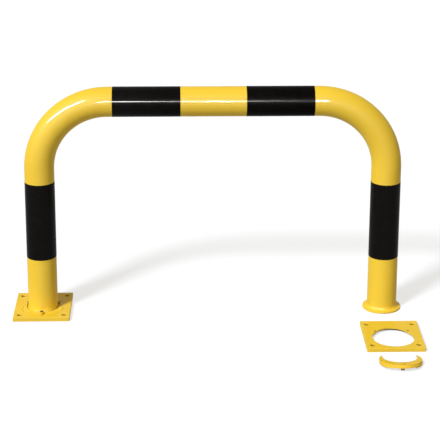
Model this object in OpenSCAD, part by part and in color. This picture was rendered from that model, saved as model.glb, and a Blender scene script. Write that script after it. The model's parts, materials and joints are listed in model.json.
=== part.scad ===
// Hoop barrier: one bent steel tube on two lockable feet.
// The left foot is assembled. The right foot is open: its leg stands on its collar,
// and its base plate and lock ring lie on the floor in front of it.
// X runs from the left leg to the right one, the front is -Y, and the floor is Z = 0.
// The origin is the centre of the left base plate's bolt holes, on the floor.

/* [Hoop] */
// Overall width over the outsides of the legs
hoop_w = 960; // [940:10:1500]
// Overall height above the floor
hoop_h = 600; // [580:10:1000]
// Outside diameter of the tube
tube_d = 76.1; // [70:0.1:82]
// Wall of the tube
tube_wall = 3; // [2:0.5:5]
// Bend radius on the tube's centreline
bend_r = 175; // [130:5:185]

/* [Bands] */
// Thickness of the black film
film_t = 0.3; // [0.2:0.05:0.6]
// How far the film laps over itself at the rear
film_lap = 12; // [6:1:20]
// Length of the film on each leg
leg_band_len = 203; // [120:1:230]
// Lower edge of the left leg's film above the floor
left_band_z = 150; // [60:1:180]
// Lower edge of the right leg's film above the floor
right_band_z = 145; // [60:1:180]
// Length of each film on the bar
bar_band_len = 171; // [80:1:180]
// Bare length between the bar's two films
bar_band_gap = 166; // [60:1:190]

/* [Collar] */
// How far the collar's flange stands out from the tube
flange_w = 11.5; // [10:0.1:12.5]
// Thickness of the flange
flange_t = 5; // [4.5:0.5:6.5]
// Radius of the flange's upper edge
flange_edge_r = 1.4; // [0.5:0.1:1.8]
// Width of the neck where it meets the flange
neck_w = 7; // [5:0.5:8]
// Wall left at the top of the neck
neck_lip = 0.8; // [0.5:0.1:1.5]
// Radius of the neck's hollow sweep
neck_sweep_r = 10; // [8:0.5:12]
// Width of the drain notch
notch_w = 6; // [4:0.5:10]
// Height of the drain notch
notch_h = 2.5; // [1.5:0.5:4]

/* [Base plate] */
// Width of the plate along the barrier
plate_w = 145; // [140:1:200]
// Depth of the plate from front to back
plate_depth = 165; // [160:1:220]
// Thickness of the plate
plate_t = 10; // [9:0.5:14]
// Bevel along the plate's upper edges
plate_bevel = 0.8; // [0.3:0.1:1.5]
// Cut across the plate's upright corners
plate_corner = 1.5; // [0.5:0.5:4]
// Fixing hole spacing along the barrier
hole_pitch_x = 115; // [110:1:122]
// Fixing hole spacing from front to back
hole_pitch_y = 124; // [120:1:138]
// Diameter of the fixing holes
hole_d = 12; // [9:0.5:14]
// Countersink round the top of each fixing hole
hole_sink = 1; // [0.3:0.1:2]
// How far the leg stands forward of the plate's centre
leg_forward = 3; // [0:0.5:5]
// How far the leg slides back from the entry circle to lock
lock_slide = 16; // [13:0.5:17]
// Radial gap between the flange and the entry circle
entry_gap = 3; // [1:0.1:3.5]
// Gap between the flange and the rim above it
rim_gap = 0.3; // [0.1:0.1:0.6]
// Gap between the neck and the bevelled mouth round it
neck_gap = 0.8; // [0.5:0.1:1.5]
// Height of the mouth's bevel
mouth_bevel = 2; // [1:0.5:2.5]

/* [Lock ring] */
// Gap round the outside of the ring, and between the ring and the flange
ring_gap = 0.5; // [0.3:0.1:0.8]
// How far the ring's lip reaches under the plate's front edge
lip_reach = 3.5; // [2:0.5:5]
// Thickness of the lip and of the ring's front below the plate's rim
lip_t = 2.5; // [1.5:0.5:3.5]
// Gap between the ring's heels and the floor in the assembled foot
heel_gap = 0.5; // [0.2:0.1:1]
// Clear width between the two heels
heel_span = 60; // [40:2:70]
// How far the ring's upper tips reach behind the leg's axis
tip_reach = 12; // [4:0.5:14]
// How far the ring's heels stop short of the leg's axis
heel_back = 13; // [11:0.5:18]

/* [Screws] */
// Thread of the clamping screws in the plate
clamp_d = 6; // [5:1:7]
// Length of the clamping screws
clamp_len = 6; // [5:1:8]
// Angle of the clamping screws from the front
clamp_angle = 120; // [110:1:130]
// How far the clamping screws' holes stand inside the recess's edge
clamp_inset = 1.5; // [0.5:0.1:2]
// Key size of the clamping screws
clamp_key = 3; // [2:0.5:3]
// Depth of the clamping screws' sockets
clamp_socket = 2.5; // [2:0.5:4]
// Thread of the lock ring's screw
jack_d = 10; // [8:1:10]
// Length of the lock ring's screw
jack_len = 18; // [16:1:25]
// Gap between the lock ring's screw and the flange
jack_gap = 0.5; // [0.3:0.1:1]
// Key size of the lock ring's screw
jack_key = 5; // [4:0.5:5]
// Depth of the lock ring screw's socket
jack_socket = 5; // [3:0.5:8]
// Bevel at both ends of every screw
screw_bevel = 0.8; // [0.5:0.1:1]

/* [Loose pieces] */
// Sideways place of the loose plate from the right leg's axis
loose_plate_x = 3; // [-60:1:60]
// Gap on the floor between the open collar and the loose plate
loose_plate_gap = 66; // [20:1:160]
// Sideways place of the loose ring from the right leg's axis
loose_ring_x = 4; // [-60:1:60]
// Gap on the floor between the loose plate and the tips of the loose ring
loose_ring_gap = 34; // [10:1:100]
// How far the loose ring's screw is turned down below the heels
loose_jack_drop = 5.5; // [1:0.5:6]

/* [Hidden] */

yellow = [0.96, 0.76, 0.2];
black_film = [0.06, 0.06, 0.05];
dark_steel = [0.16, 0.16, 0.16];

$fn = 96;
past = 1; // how far every cutter runs past the face that it opens

tube_r = tube_d / 2;
leg_spacing = hoop_w - tube_d;
leg_y = -leg_forward;
bar_z = hoop_h - tube_r;
bend_z = bar_z - bend_r;

flange_r = tube_r + flange_w;
neck_h = sqrt(pow(neck_sweep_r, 2) - pow(neck_sweep_r - neck_w + neck_lip, 2));
neck_top = flange_t + neck_h;
neck_axis_r = tube_r + neck_lip + neck_sweep_r;

entry_r = flange_r + entry_gap;
entry_y = leg_y - lock_slide;
rim_z = flange_t + rim_gap;
mouth_z = rim_z + mouth_bevel;
mouth_r = neck_r_at(mouth_z) + neck_gap;
mouth_low_r = neck_r_at(rim_z) + neck_gap;

ring_r = entry_r - ring_gap;
ring_inner_low_r = flange_r + ring_gap;
lip_y = entry_y - lip_reach;
lip_z = rim_z - lip_t;
tip_y = leg_y + tip_reach;
heel_y = leg_y - heel_back;

clamp_ring_r = entry_r - clamp_d / 2 - clamp_inset;
jack_y = leg_y - flange_r - jack_gap - jack_d / 2;
jack_foot_y = jack_y + jack_d / 2 - screw_bevel;
loose_jack_z = heel_gap - loose_jack_drop;
loose_ring_tilt = atan(loose_jack_drop / (heel_y - jack_foot_y));
loose_plate_y = leg_y - flange_r - loose_plate_gap - plate_depth / 2;
loose_ring_y = loose_plate_y - plate_depth / 2 - loose_ring_gap - (tip_y - jack_foot_y);

// Outer radius of the neck at a height within its hollow sweep
function neck_r_at(z) = neck_axis_r - sqrt(pow(neck_sweep_r, 2) - pow(neck_top - z, 2));

// Point on a circle about [0, y], counted from the front by an angle
function round_point(r, y, angle) = [r * sin(angle), y - r * cos(angle)];

// Hoop

module tube_section() {
    difference() {
        circle(r = tube_r);
        circle(r = tube_r - tube_wall);
    }
}

module tube_bend() {
    rotate([90, 0, 0])
        rotate_extrude(angle = 90)
            translate([bend_r, 0]) tube_section();
}

// Cuts the notch at the front of a leg's foot
module drain_cut() {
    translate([-notch_w / 2, -flange_r - past, -past])
        cube([notch_w, flange_r + past, notch_h + past]);
}

module hoop_tube() {
    color(yellow)
    translate([0, leg_y, 0])
    difference() {
        union() {
            for (x = [0, leg_spacing])
                translate([x, 0, 0]) linear_extrude(bend_z) tube_section();
            translate([leg_spacing - bend_r, 0, bend_z]) tube_bend();
            translate([bend_r, 0, bend_z]) mirror([1, 0, 0]) tube_bend();
            translate([bend_r, 0, bar_z]) rotate([0, 90, 0])
                linear_extrude(leg_spacing - 2 * bend_r) tube_section();
        }
        for (x = [0, leg_spacing]) translate([x, 0, 0]) drain_cut();
    }
}

// Collar: a flange with a hollow neck that runs up the tube

module collar_section() {
    translate([tube_r, 0]) square([flange_w, flange_t - flange_edge_r]);
    translate([tube_r, 0]) square([flange_w - flange_edge_r, flange_t]);
    translate([flange_r - flange_edge_r, flange_t - flange_edge_r]) circle(r = flange_edge_r);
    difference() {
        translate([tube_r, 0]) square([neck_w, neck_top]);
        translate([neck_axis_r, neck_top]) circle(r = neck_sweep_r);
    }
}

module collar() {
    difference() {
        rotate_extrude() collar_section();
        drain_cut();
    }
}

module left_collar() {
    color(yellow) translate([0, leg_y, 0]) collar();
}

module right_collar() {
    color(yellow) translate([leg_spacing, leg_y, 0]) collar();
}

// Film bands

// One layer of film round the tube with a second layer where its end laps over
module film_section() {
    lap_side = film_lap / 2;
    difference() {
        union() {
            circle(r = tube_r + film_t);
            intersection() {
                circle(r = tube_r + 2 * film_t);
                translate([-lap_side, 0]) square([2 * lap_side, tube_d]);
            }
        }
        circle(r = tube_r);
    }
}

module film(length) {
    linear_extrude(length) film_section();
}

module bar_film(x) {
    translate([x, leg_y, bar_z]) rotate([0, 90, 0]) film(bar_band_len);
}

// Film on the right leg from a height upwards. What doesn't fit on the straight
// part of the leg follows the bend.
module leg_film(z) {
    straight_len = min(leg_band_len, bend_z - z);
    bent_angle = (leg_band_len - straight_len) / bend_r * 180 / PI;
    translate([0, 0, z]) film(straight_len);
    if (bent_angle > 0)
        translate([-bend_r, 0, bend_z]) rotate([90, 0, 0])
            rotate_extrude(angle = bent_angle)
                translate([bend_r, 0]) mirror([0, 1, 0]) film_section();
}

module left_leg_band() {
    color(black_film) translate([0, leg_y, 0]) mirror([1, 0, 0]) leg_film(left_band_z);
}

module right_leg_band() {
    color(black_film) translate([leg_spacing, leg_y, 0]) leg_film(right_band_z);
}

module bar_band_left() {
    color(black_film) bar_film((leg_spacing - bar_band_gap) / 2 - bar_band_len);
}

module bar_band_right() {
    color(black_film) bar_film((leg_spacing + bar_band_gap) / 2);
}

// Base plate

module edge_cut(length) {
    rotate([45, 0, 0]) cube([length, plate_bevel * sqrt(2), plate_bevel * sqrt(2)], center = true);
}

module corner_cut() {
    rotate([0, 0, 45]) cube([plate_corner * sqrt(2), plate_corner * sqrt(2), 3 * plate_t], center = true);
}

module plate_blank() {
    difference() {
        translate([-plate_w / 2, -plate_depth / 2, 0]) cube([plate_w, plate_depth, plate_t]);
        for (side = [-1, 1]) {
            translate([0, side * plate_depth / 2, plate_t]) edge_cut(plate_w + 2 * past);
            translate([side * plate_w / 2, 0, plate_t]) rotate([0, 0, 90]) edge_cut(plate_depth + 2 * past);
            for (end = [-1, 1])
                translate([side * plate_w / 2, end * plate_depth / 2, 0]) corner_cut();
        }
    }
}

// The recess under the rim, along which the flange slides and the ring's lip lies
module slide_recess() {
    translate([0, 0, -past]) linear_extrude(rim_z + past) {
        translate([0, lip_y]) circle(r = entry_r);
        translate([0, leg_y]) circle(r = entry_r);
        translate([-entry_r, lip_y]) square([2 * entry_r, leg_y - lip_y]);
    }
}

// The keyhole: the entry circle, the narrower mouth behind it, and straight sides
// a little inside the lines that touch both circles, so that they cross them
module keyhole() {
    side_inset = 0.1;
    side_angle = 90 + asin((entry_r - mouth_r) / lock_slide);
    front_side = round_point(entry_r - side_inset, entry_y, side_angle);
    rear_side = round_point(mouth_r - side_inset, leg_y, side_angle);
    translate([0, entry_y]) circle(r = entry_r);
    translate([0, leg_y]) circle(r = mouth_r);
    polygon([
        front_side,
        rear_side,
        [-rear_side[0], rear_side[1]],
        [-front_side[0], front_side[1]],
    ]);
}

// Clears the neck: a bevel under a straight mouth
module neck_cut() {
    translate([0, leg_y, 0]) {
        translate([0, 0, rim_z]) cylinder(r1 = mouth_low_r, r2 = mouth_r, h = mouth_bevel);
        translate([0, 0, rim_z - past]) cylinder(r = mouth_low_r, h = past);
        translate([0, 0, rim_z]) cylinder(r = mouth_r, h = plate_t);
    }
}

module fixing_hole() {
    translate([0, 0, -past]) cylinder(d = hole_d, h = plate_t + 2 * past);
    translate([0, 0, plate_t - hole_sink])
        cylinder(d1 = hole_d, d2 = hole_d + 4 * hole_sink, h = 2 * hole_sink);
}

module at_clamp_screws() {
    for (side = [-1, 1])
        translate(concat(round_point(clamp_ring_r, leg_y, side * clamp_angle), 0)) children();
}

module base_plate() {
    difference() {
        plate_blank();
        slide_recess();
        translate([0, 0, -past]) linear_extrude(plate_t + 2 * past) keyhole();
        neck_cut();
        for (x = [-1, 1], y = [-1, 1])
            translate([x * hole_pitch_x / 2, y * hole_pitch_y / 2, 0]) fixing_hole();
        at_clamp_screws() cylinder(d = clamp_d, h = plate_t + past);
    }
}

module left_base_plate() {
    color(yellow) base_plate();
}

module right_base_plate() {
    color(yellow) as_loose_plate() base_plate();
}

// Lock ring: a crescent that fills the entry circle in front of the leg. Its lip
// reaches under the plate's rim, and its heels stand beside the flange.

module half_plane(y) {
    translate([-plate_w, y - plate_depth]) square([2 * plate_w, plate_depth]);
}

module ring_top_outline() {
    intersection() {
        translate([0, entry_y]) circle(r = ring_r);
        half_plane(tip_y);
    }
}

module ring_low_outline() {
    intersection() {
        difference() {
            translate([0, lip_y]) circle(r = ring_r);
            translate([0, leg_y]) circle(r = ring_inner_low_r);
        }
        half_plane(heel_y);
    }
}

module heel_outline() {
    difference() {
        ring_low_outline();
        translate([-heel_span / 2, -plate_depth]) square([heel_span, plate_depth]);
    }
}

module lock_ring() {
    difference() {
        union() {
            difference() {
                translate([0, 0, rim_z]) linear_extrude(plate_t - rim_z) ring_top_outline();
                neck_cut();
            }
            translate([0, 0, lip_z]) linear_extrude(lip_t) ring_low_outline();
            translate([0, 0, heel_gap]) linear_extrude(lip_z - heel_gap) heel_outline();
        }
        translate([0, jack_y, -past]) cylinder(d = jack_d, h = plate_t + 2 * past);
    }
}

module left_lock_ring() {
    color(yellow) lock_ring();
}

module right_lock_ring() {
    color(yellow) as_loose_ring() lock_ring();
}

// Screws with a hexagon socket, standing on z = 0

module socket_screw(d, length, key, socket) {
    difference() {
        union() {
            cylinder(d1 = d - 2 * screw_bevel, d2 = d, h = screw_bevel);
            translate([0, 0, screw_bevel]) cylinder(d = d, h = length - 2 * screw_bevel);
            translate([0, 0, length - screw_bevel])
                cylinder(d1 = d, d2 = d - 2 * screw_bevel, h = screw_bevel);
        }
        translate([0, 0, length - socket])
            cylinder(d = key / cos(30), h = socket + past, $fn = 6);
    }
}

module clamp_screws(z) {
    at_clamp_screws() translate([0, 0, z])
        socket_screw(clamp_d, clamp_len, clamp_key, clamp_socket);
}

module ring_screw(z) {
    translate([0, jack_y, z]) socket_screw(jack_d, jack_len, jack_key, jack_socket);
}

module left_clamp_screws() {
    color(dark_steel) clamp_screws(flange_t);
}

module right_clamp_screws() {
    color(dark_steel) as_loose_plate() clamp_screws(plate_t - clamp_len);
}

module left_ring_screw() {
    color(yellow) ring_screw(0);
}

module right_ring_screw() {
    color(yellow) as_loose_ring() ring_screw(loose_jack_z);
}

// Where the open foot's pieces lie

module as_loose_plate() {
    translate([leg_spacing + loose_plate_x, loose_plate_y, 0]) children();
}

// The ring rests on its two heels and on the foot of its screw, so it tilts a little
module as_loose_ring() {
    translate([leg_spacing + loose_ring_x, loose_ring_y, 0])
        rotate([-loose_ring_tilt, 0, 0])
            translate([0, -jack_foot_y, -loose_jack_z]) children();
}

hoop_tube();
left_collar();
right_collar();
left_base_plate();
right_base_plate();
left_lock_ring();
right_lock_ring();
left_clamp_screws();
right_clamp_screws();
left_ring_screw();
right_ring_screw();
left_leg_band();
right_leg_band();
bar_band_left();
bar_band_right();
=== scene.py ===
import json
import math

import bmesh
import bpy
from mathutils import Matrix, Vector


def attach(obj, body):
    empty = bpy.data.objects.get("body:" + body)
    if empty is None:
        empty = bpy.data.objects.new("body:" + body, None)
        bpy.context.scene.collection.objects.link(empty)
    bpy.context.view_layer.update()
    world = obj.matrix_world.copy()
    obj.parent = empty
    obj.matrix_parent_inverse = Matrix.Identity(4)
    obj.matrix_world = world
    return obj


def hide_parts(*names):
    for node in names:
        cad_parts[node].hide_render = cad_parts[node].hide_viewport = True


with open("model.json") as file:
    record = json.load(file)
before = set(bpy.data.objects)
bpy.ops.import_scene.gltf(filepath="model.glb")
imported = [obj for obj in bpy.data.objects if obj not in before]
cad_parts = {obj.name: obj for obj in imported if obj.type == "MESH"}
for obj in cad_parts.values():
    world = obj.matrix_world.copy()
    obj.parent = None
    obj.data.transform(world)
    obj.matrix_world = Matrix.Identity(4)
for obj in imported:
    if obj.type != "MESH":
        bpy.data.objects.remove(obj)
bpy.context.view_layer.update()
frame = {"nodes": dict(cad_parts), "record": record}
print("frame loaded:", len(frame["nodes"]), "pieces")


# A socket that takes Python's operators. Each operation on it adds one Math node.
class Wire:
    def __init__(self, sheet, socket):
        self.sheet = sheet
        self.socket = socket

    def __add__(self, other):
        return self.sheet.maths("ADD", self, other)

    def __radd__(self, other):
        return self.sheet.maths("ADD", other, self)

    def __sub__(self, other):
        return self.sheet.maths("SUBTRACT", self, other)

    def __rsub__(self, other):
        return self.sheet.maths("SUBTRACT", other, self)

    def __mul__(self, other):
        return self.sheet.maths("MULTIPLY", self, other)

    def __rmul__(self, other):
        return self.sheet.maths("MULTIPLY", other, self)

    def __pow__(self, other):
        return self.sheet.maths("POWER", self, other)

    def __rpow__(self, other):
        return self.sheet.maths("POWER", other, self)


# The nodes of one material or of the world
class Sheet:
    def __init__(self, owner):
        owner.use_nodes = True
        self.tree = owner.node_tree
        self.tree.nodes.clear()

    def node(self, kind, settings=None, sockets=None, out=0):
        made = self.tree.nodes.new(kind)
        for name, value in (settings or {}).items():
            setattr(made, name, value)
        for name, value in (sockets or {}).items():
            if isinstance(value, Wire):
                self.tree.links.new(value.socket, made.inputs[name])
            else:
                made.inputs[name].default_value = value
        return Wire(self, made.outputs[out] if len(made.outputs) else None)

    def maths(self, operation, *values):
        return self.node("ShaderNodeMath", {"operation": operation}, dict(enumerate(values)))

    # The Mix node has sockets of the same names for each kind of data: these are the colours'
    def mixColour(self, factor, first, second):
        return self.node("ShaderNodeMix", {"data_type": "RGBA"}, {0: factor, 6: first, 7: second}, out=2)

    def place(self):
        return self.node("ShaderNodeTexCoord", out="Object")

    def axis(self, place, letter):
        return self.node("ShaderNodeSeparateXYZ", sockets={"Vector": place}, out=letter)

    def noise(self, place, scale, detail=2.0, rough=0.5):
        return self.node("ShaderNodeTexNoise", {},
                         {"Vector": place, "Scale": scale, "Detail": detail, "Roughness": rough})

    # 1 in the open, and less the deeper a point lies in a gap or a hole
    def openness(self, reach):
        return self.node("ShaderNodeAmbientOcclusion", {}, {"Distance": reach}, out="AO")

    def spread(self, value, low, high, newLow=0.0, newHigh=1.0):
        return self.node("ShaderNodeMapRange", {"clamp": True},
                         {"Value": value, "From Min": low, "From Max": high,
                          "To Min": newLow, "To Max": newHigh})

    def bump(self, height, strength, distance):
        return self.node("ShaderNodeBump", {},
                         {"Strength": strength, "Distance": distance, "Height": height})


def rgba(colour):
    return (*colour, 1.0)


# Yellow powder coat: faint clouds of tone, a fine orange peel and small specks.
# Painted shade: it goes dark in the holes and in the gaps between the pieces, by how enclosed a point is.
coat = {
    "colour": (0.92, 0.60, 0.032),
    "deepColour": (0.895, 0.575, 0.026),
    "cloudScale": 7.0,
    "cloudRange": (0.35, 0.65),
    "cloudShare": 0.75,  # the specks have the rest of the tone
    "speckScale": 1500.0,
    # Painted shade of holes and gaps: its colour, how far the occlusion reaches and the range that blends
    # it in
    "gapShadeColour": (0.026, 0.018, 0.002),
    "gapShadeReach": 0.0125,
    "gapShadeRange": (0.12, 0.58),
    "peelScale": 330.0,
    "peelHeight": 0.00002,
    "peelStrength": 0.35,
    "peelShare": 0.8,  # the specks have the rest of the relief
    "roughRange": (0.3, 0.7),
    "roughLow": 0.50,
    "roughHigh": 0.62,
    "roughShare": 0.6,  # the peel's, and the specks have the rest
    "specular": 0.08,
    "coatWeight": 0.15,
    "coatRough": 0.08,
    "bareRadius": 0.0031,
    "bareHeight": 0.0176,
    "bareEdge": 0.0001,
}


# With bareHead, all that lies near the axis or near the head stays black, as on the left ring's screw
def makeYellowCoat(name, bareHead=False):
    material = bpy.data.materials.new(name)
    sheet = Sheet(material)
    place = sheet.place()
    clouds = sheet.spread(sheet.noise(place, coat["cloudScale"], detail=3.0), *coat["cloudRange"])
    peel = sheet.noise(place, coat["peelScale"])
    specks = sheet.noise(place, coat["speckScale"], detail=1.0)
    tone = clouds * coat["cloudShare"] + specks * (1 - coat["cloudShare"])
    colour = sheet.mixColour(tone, rgba(coat["deepColour"]), rgba(coat["colour"]))
    # Painted shade: the colour goes near black where a point lies deep in a hole or a gap
    clear = sheet.spread(sheet.openness(coat["gapShadeReach"]), *coat["gapShadeRange"])
    colour = sheet.mixColour(clear, rgba(coat["gapShadeColour"]), colour)
    if bareHead:
        across, along, up = [sheet.axis(place, letter) for letter in "XYZ"]
        reach = (across ** 2 + along ** 2) ** 0.5
        inside = sheet.spread(reach, coat["bareRadius"], coat["bareRadius"] + coat["bareEdge"], 1.0, 0.0)
        above = sheet.spread(up, coat["bareHeight"], coat["bareHeight"] + coat["bareEdge"])
        bare = sheet.maths("MAXIMUM", inside, above)
        colour = sheet.mixColour(bare, colour, rgba(darkSteel["colour"]))
    grain = peel * coat["roughShare"] + specks * (1 - coat["roughShare"])
    relief = peel * coat["peelShare"] + specks * (1 - coat["peelShare"])
    shader = sheet.node("ShaderNodeBsdfPrincipled", {}, {
        "Base Color": colour,
        "Roughness": sheet.spread(grain, *coat["roughRange"], coat["roughLow"], coat["roughHigh"]),
        "Normal": sheet.bump(relief, coat["peelStrength"], coat["peelHeight"]),
        "Specular IOR Level": coat["specular"],
        "Coat Weight": coat["coatWeight"],
        "Coat Roughness": coat["coatRough"],
    })
    sheet.node("ShaderNodeOutputMaterial", {}, {"Surface": shader})
    return material


# Black film: a smooth plastic skin with slow waves, faint streaks and dust. On the bar its gloss
# fades to the right: each fade has its start, its end and the coat weight that it takes off.
film = {
    "colour": (0.0030, 0.0024, 0.0020),
    "dustColour": (0.0060, 0.0050, 0.0044),
    "dustScale": 900.0,
    "dustRange": (0.58, 0.75),
    "streakScale": 60.0,
    "streakRange": (0.40, 0.70),
    "streakRough": 0.6,
    "waveScale": 14.0,
    "waveHeight": 0.0003,
    "waveStrength": 0.3,
    "roughRange": (0.0, 1.2),
    "roughLow": 0.28,
    "roughHigh": 0.40,
    "specular": 0.008,
    "coatWeight": 0.086,
    "coatRough": 0.035,
    "fades": [(0.20, 0.33, 0.060), (0.50, 0.66, 0.0245)],
    "barHeights": (0.50, 0.51),  # the fades act above these
}


def makeBlackFilm():
    material = bpy.data.materials.new("blackFilm")
    sheet = Sheet(material)
    place = sheet.place()
    streaks = sheet.noise(place, film["streakScale"], detail=4.0, rough=film["streakRough"])
    streaks = sheet.spread(streaks, *film["streakRange"])
    waves = sheet.noise(place, film["waveScale"], detail=1.0)
    dust = sheet.spread(sheet.noise(place, film["dustScale"]), *film["dustRange"])
    colour = sheet.mixColour(streaks * 0.5 + dust * 0.5, rgba(film["colour"]), rgba(film["dustColour"]))
    rough = sheet.spread(streaks + dust * 0.5, *film["roughRange"], film["roughLow"], film["roughHigh"])
    across, up = [sheet.axis(place, letter) for letter in "XZ"]
    onBar = sheet.spread(up, *film["barHeights"])
    first, second = [sheet.spread(across, low, high, 0.0, loss) for low, high, loss in film["fades"]]
    shader = sheet.node("ShaderNodeBsdfPrincipled", {}, {
        "Base Color": colour,
        "Roughness": rough,
        "Normal": sheet.bump(waves, film["waveStrength"], film["waveHeight"]),
        "Specular IOR Level": film["specular"],
        "Coat Weight": film["coatWeight"] - (first + second) * onBar,
        "Coat Roughness": film["coatRough"],
    })
    sheet.node("ShaderNodeOutputMaterial", {}, {"Surface": shader})
    return material


# Blackened steel of the clamping screws, rubbed bare in patches
darkSteel = {
    "colour": (0.020, 0.019, 0.018),
    "rubbedColour": (0.075, 0.072, 0.068),
    "rubbedScale": 160.0,
    "rubbedRange": (0.50, 0.75),
    "rubbedShare": 0.6,
    "metalLow": 0.5,
    "metalHigh": 0.8,
    "grainScale": 700.0,
    "grainHeight": 0.00004,
    "grainStrength": 0.2,
    "roughRange": (0.3, 0.7),
    "roughLow": 0.35,
    "roughHigh": 0.55,
}


def makeDarkSteel():
    material = bpy.data.materials.new("blackenedSteel")
    sheet = Sheet(material)
    place = sheet.place()
    grain = sheet.noise(place, darkSteel["grainScale"], detail=3.0)
    rubbed = sheet.spread(sheet.noise(place, darkSteel["rubbedScale"]), *darkSteel["rubbedRange"])
    bare = rubbed * darkSteel["rubbedShare"]
    rough = sheet.spread(grain, *darkSteel["roughRange"], darkSteel["roughLow"], darkSteel["roughHigh"])
    shader = sheet.node("ShaderNodeBsdfPrincipled", {}, {
        "Base Color": sheet.mixColour(bare, rgba(darkSteel["colour"]), rgba(darkSteel["rubbedColour"])),
        "Roughness": rough,
        "Metallic": sheet.spread(rubbed, 0.0, 1.0, darkSteel["metalLow"], darkSteel["metalHigh"]),
        "Normal": sheet.bump(grain, darkSteel["grainStrength"], darkSteel["grainHeight"]),
    })
    sheet.node("ShaderNodeOutputMaterial", {}, {"Surface": shader})
    return material


yellowCoat = makeYellowCoat("yellowPowderCoat")
screwCoat = makeYellowCoat("yellowScrewCoat", bareHead=True)
blackFilm = makeBlackFilm()
blackenedSteel = makeDarkSteel()
print("materials made")


finishOf = {
    "yellow_coat": yellowCoat,
    "black_film": blackFilm,
    "dark_screw": blackenedSteel,
}


def dressNodes():
    slotOf = {part["node"]: part["material_slot"] for part in frame["record"]["subparts"]}
    for name, node in frame["nodes"].items():
        node.data.materials.clear()
        node.data.materials.append(finishOf[slotOf[name]])


dressNodes()
print("frame dressed")


# Threaded screws in place of the plain ones, in metres. Each is one grid of rings:
# foot, thread, top face, hexagon rim, socket walls and the cone at the socket's bottom.
ringScrew = {
    "width": 0.010,
    "length": 0.018,
    "pitch": 0.0015,
    "bevel": 0.0008,
    "key": 0.005,
    "socket": 0.005,
    "columns": 48,
}
clampScrew = {
    "width": 0.006,
    "length": 0.006,
    "pitch": 0.001,
    "bevel": 0.0008,
    "key": 0.003,
    "socket": 0.0025,
    "columns": 36,
}

# What both kinds have alike
screwForm = {
    "groove": [(0.0, 0.0), (0.125, 0.0), (0.44, 1.0), (0.69, 1.0)],  # share of a turn, share of the depth
    "grooveDepth": 0.6,  # share of the pitch
    "slack": 0.00002,
    "rimWidth": 0.0002,
    "rimDepth": 0.0003,
    "coneDepth": 0.2,  # share of the key
    "merge": 0.000002,
}


# How far the hexagon of a key reaches at an angle
def hexReach(key, angle):
    return key / 2 / math.cos(angle % (math.pi / 3) - math.pi / 6)


# Adds one screw that stands on z = 0, then moves it by a matrix
def addScrew(shape, facts, place):
    length, bevel, columns = facts["length"], facts["bevel"], facts["columns"]
    outer = facts["width"] / 2 - screwForm["slack"]
    depth = min(screwForm["grooveDepth"] * facts["pitch"], bevel)  # no deeper than the bevel at the ends
    turns = math.ceil(length / facts["pitch"]) + 2
    bottom = length - facts["socket"]
    lines = []
    for column in range(columns):
        angle = 2 * math.pi * column / columns
        points = [(0.0, 0.0), (outer - bevel, 0.0)]
        for turn in range(-1, turns):
            for along, inward in screwForm["groove"]:
                height = (turn + along + column / columns) * facts["pitch"]
                height = min(max(height, 0.0), length)
                bevelled = outer - max(bevel - height, bevel - (length - height), 0.0)
                points.append((min(outer - inward * depth, bevelled), height))
        rim = hexReach(facts["key"], angle)
        points += [
            (outer - bevel, length),
            (rim + screwForm["rimWidth"], length),
            (rim, length - screwForm["rimDepth"]),
            (rim, bottom),
            (0.0, bottom - facts["key"] * screwForm["coneDepth"]),
        ]
        spots = [(reach * math.cos(angle), reach * math.sin(angle), height) for reach, height in points]
        lines.append([shape.verts.new(place @ Vector(spot)) for spot in spots])
    for here, beyond in zip(lines, lines[1:] + lines[:1]):
        for a, b, c, d in zip(here, beyond, beyond[1:], here[1:]):
            shape.faces.new((a, b, c, d))


# Makes one piece of one or more screws and stands it in its place
def addScrews(name, facts, places, replaced, finish, stand=Matrix.Identity(4)):
    shape = bmesh.new()
    for place in places:
        addScrew(shape, facts, place)
    bmesh.ops.remove_doubles(shape, verts=shape.verts, dist=screwForm["merge"])
    bmesh.ops.recalc_face_normals(shape, faces=shape.faces)
    mesh = bpy.data.meshes.new(name)
    shape.to_mesh(mesh)
    shape.free()
    mesh.materials.append(finish)
    piece = bpy.data.objects.new(name, mesh)
    bpy.context.scene.collection.objects.link(piece)
    piece.matrix_world = stand
    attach(piece, "root")
    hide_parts(replaced)


# Where the screws stand. The loose ring's tilt is in degrees.
screwPlaces = {
    "ring": (0.0, -0.05805, 0.0),
    "clampSide": 0.041612,
    "clampFront": 0.021025,
    "leftHeight": 0.005,
    "loosePlate": (0.8869, -0.20105, 0.004),
    "looseRing": (0.8879, -0.38040, 0.0),
    "looseTilt": 8.268,
    "looseFoot": 0.0042,
}


def placeScrews():
    spots = screwPlaces
    upright = Matrix.Translation(spots["ring"])
    tilted = (Matrix.Translation(spots["looseRing"])
              @ Matrix.Rotation(-math.radians(spots["looseTilt"]), 4, "X")
              @ Matrix.Translation((0.0, -spots["looseFoot"], 0.0)))
    addScrews("ringScrewLeft", ringScrew, [Matrix.Identity(4)],
              "left_ring_screw", screwCoat, upright)
    addScrews("ringScrewRight", ringScrew, [tilted],
              "right_ring_screw", yellowCoat)

    pair = [Matrix.Translation((side * spots["clampSide"], spots["clampFront"], 0.0)) for side in (-1, 1)]
    raised = Matrix.Translation((0.0, 0.0, spots["leftHeight"]))
    loose = Matrix.Translation(spots["loosePlate"])
    addScrews("clampScrewsLeft", clampScrew, pair,
              "left_clamp_screws", blackenedSteel, raised)
    addScrews("clampScrewsRight", clampScrew, pair,
              "right_clamp_screws", blackenedSteel, loose)


placeScrews()
print("screws placed")


# Camera of the photograph: yaw to the right, pitch downwards, roll clockwise, in radians
lens = {
    "place": (0.3399, -3.8766, 1.6807),
    "yaw": 0.02814,
    "pitch": 0.29473,
    "roll": -0.00329,
    "focal": 131.24,
    "sensor": 36.0,
    "shiftX": 0.0089,
    "shiftY": -0.22,
    "near": 0.05,
    "far": 100.0,
}


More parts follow.
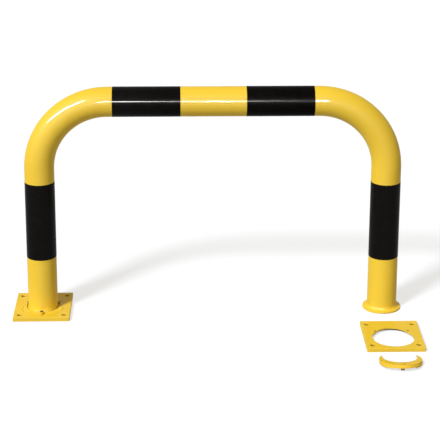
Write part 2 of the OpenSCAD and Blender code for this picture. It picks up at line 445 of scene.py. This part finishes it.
def setCamera():
    data = bpy.data.cameras.new("photoCamera")
    data.sensor_width = lens["sensor"]
    data.lens = lens["focal"]
    data.shift_x = lens["shiftX"]
    data.shift_y = lens["shiftY"]
    data.clip_start = lens["near"]
    data.clip_end = lens["far"]
    camera = bpy.data.objects.new("photoCamera", data)
    bpy.context.scene.collection.objects.link(camera)
    turn = (Matrix.Rotation(-lens["yaw"], 4, "Z")
            @ Matrix.Rotation(math.pi / 2 - lens["pitch"], 4, "X")
            @ Matrix.Rotation(-lens["roll"], 4, "Z"))
    camera.matrix_world = Matrix.Translation(lens["place"]) @ turn
    bpy.context.scene.camera = camera


# A soft key from the upper left, and two long lamps that only show as gloss: the low
# one draws the white line along the bar, the high one the line on the left bend
lamps = {
    "key": {
        "kind": "SUN",
        "colour": (0.97, 1.0, 1.10),
        "azimuth": -40.0,
        "elevation": 43.0,
        "spread": 11.0,
        "strength": 2.95,
        "onMatt": True,
        "onGloss": False,
    },
    "lowStrip": {
        "kind": "AREA",
        "colour": (1.0, 1.0, 1.0),
        "place": (0.525, -4.6, 1.87),
        "aim": (0.525, 0.0, 0.57),
        "size": (1.95, 0.36),
        "radiance": 480.0,
        "onMatt": False,
        "onGloss": True,
    },
    "highStrip": {
        "kind": "AREA",
        "colour": (1.0, 1.0, 1.0),
        "place": (-6.8, -4.6, 5.15),
        "aim": (-6.8, 0.0, 0.55),
        "size": (9.0, 0.7),
        "radiance": 430.0,
        "onMatt": False,
        "onGloss": True,
    },
}


def addLamp(name, facts):
    data = bpy.data.lights.new(name, facts["kind"])
    data.color = facts["colour"]
    lamp = bpy.data.objects.new(name, data)
    bpy.context.scene.collection.objects.link(lamp)
    if facts["kind"] == "SUN":
        data.energy = facts["strength"]
        data.angle = math.radians(facts["spread"])
        side, up = math.radians(facts["azimuth"]), math.radians(facts["elevation"])
        aim = -Vector((math.sin(side) * math.cos(up), -math.cos(side) * math.cos(up), math.sin(up)))
    else:
        data.shape = "RECTANGLE"
        data.size, data.size_y = facts["size"]
        data.energy = facts["radiance"] * math.pi * data.size * data.size_y
        lamp.location = facts["place"]
        aim = Vector(facts["aim"]) - Vector(facts["place"])
    lamp.visible_diffuse = facts["onMatt"]
    lamp.visible_glossy = facts["onGloss"]
    lamp.rotation_euler = aim.to_track_quat("-Z", "Y").to_euler()


# White background and a plain pale floor. The lift whitens the floor, but not so far that the
# object's shadow goes, and it stops just under the object's edges.
backdrop = {
    "floorSize": 40.0,
    "floorCells": 8,
    "floorColour": (0.38, 0.38, 0.38),
    "floorDeepColour": (0.34, 0.34, 0.34),
    "grainScale": 40.0,
    "grainShare": 0.03,
    "floorLift": 0.68,
    "liftRange": (0.02, 0.25),
    "shadeReach": 0.010,
    "skyColour": (1.0, 1.0, 1.0),
    "fillColour": (0.29, 0.28, 0.23),
    "unlitColour": (0.0, 0.0, 0.0),
}


# 1 for rays that show the background: straight to the camera, in a gloss or through glass
def seenDirectly(sheet):
    camera = sheet.node("ShaderNodeLightPath", out="Is Camera Ray")
    gloss = sheet.node("ShaderNodeLightPath", out="Is Glossy Ray")
    glass = sheet.node("ShaderNodeLightPath", out="Is Transmission Ray")
    return sheet.maths("MINIMUM", camera + gloss + glass, 1.0)


def setSky():
    world = bpy.data.worlds.new("studio")
    bpy.context.scene.world = world
    sheet = Sheet(world)
    colour = sheet.mixColour(seenDirectly(sheet), rgba(backdrop["fillColour"]), rgba(backdrop["skyColour"]))
    sky = sheet.node("ShaderNodeBackground", {}, {"Color": colour, "Strength": 1.0})
    sheet.node("ShaderNodeOutputWorld", {}, {"Surface": sky})


def makeFloorFinish():
    material = bpy.data.materials.new("studioFloor")
    sheet = Sheet(material)
    grain = sheet.noise(sheet.place(), backdrop["grainScale"], detail=3.0) * backdrop["grainShare"]
    colour = sheet.mixColour(grain, rgba(backdrop["floorColour"]), rgba(backdrop["floorDeepColour"]))
    openness = sheet.openness(backdrop["shadeReach"])
    lift = sheet.spread(openness, *backdrop["liftRange"], 0.0, backdrop["floorLift"])
    lift = seenDirectly(sheet) * lift
    glow = sheet.mixColour(lift, rgba(backdrop["unlitColour"]), rgba(backdrop["skyColour"]))
    shader = sheet.node("ShaderNodeBsdfPrincipled", {}, {
        "Base Color": colour,
        "Specular IOR Level": 0.0,
        "Emission Color": glow,
        "Emission Strength": 1.0,
    })
    sheet.node("ShaderNodeOutputMaterial", {}, {"Surface": shader})
    return material


def layFloor():
    shape = bmesh.new()
    cells = backdrop["floorCells"]
    bmesh.ops.create_grid(shape, x_segments=cells, y_segments=cells, size=backdrop["floorSize"] / 2)
    mesh = bpy.data.meshes.new("studioFloor")
    shape.to_mesh(mesh)
    shape.free()
    mesh.materials.append(makeFloorFinish())
    floor = bpy.data.objects.new("studioFloor", mesh)
    bpy.context.scene.collection.objects.link(floor)


setCamera()
for lampName, lampFacts in lamps.items():
    addLamp(lampName, lampFacts)
setSky()
layFloor()
bpy.context.scene.view_settings.view_transform = "Standard"
print("camera, lamps and floor set")
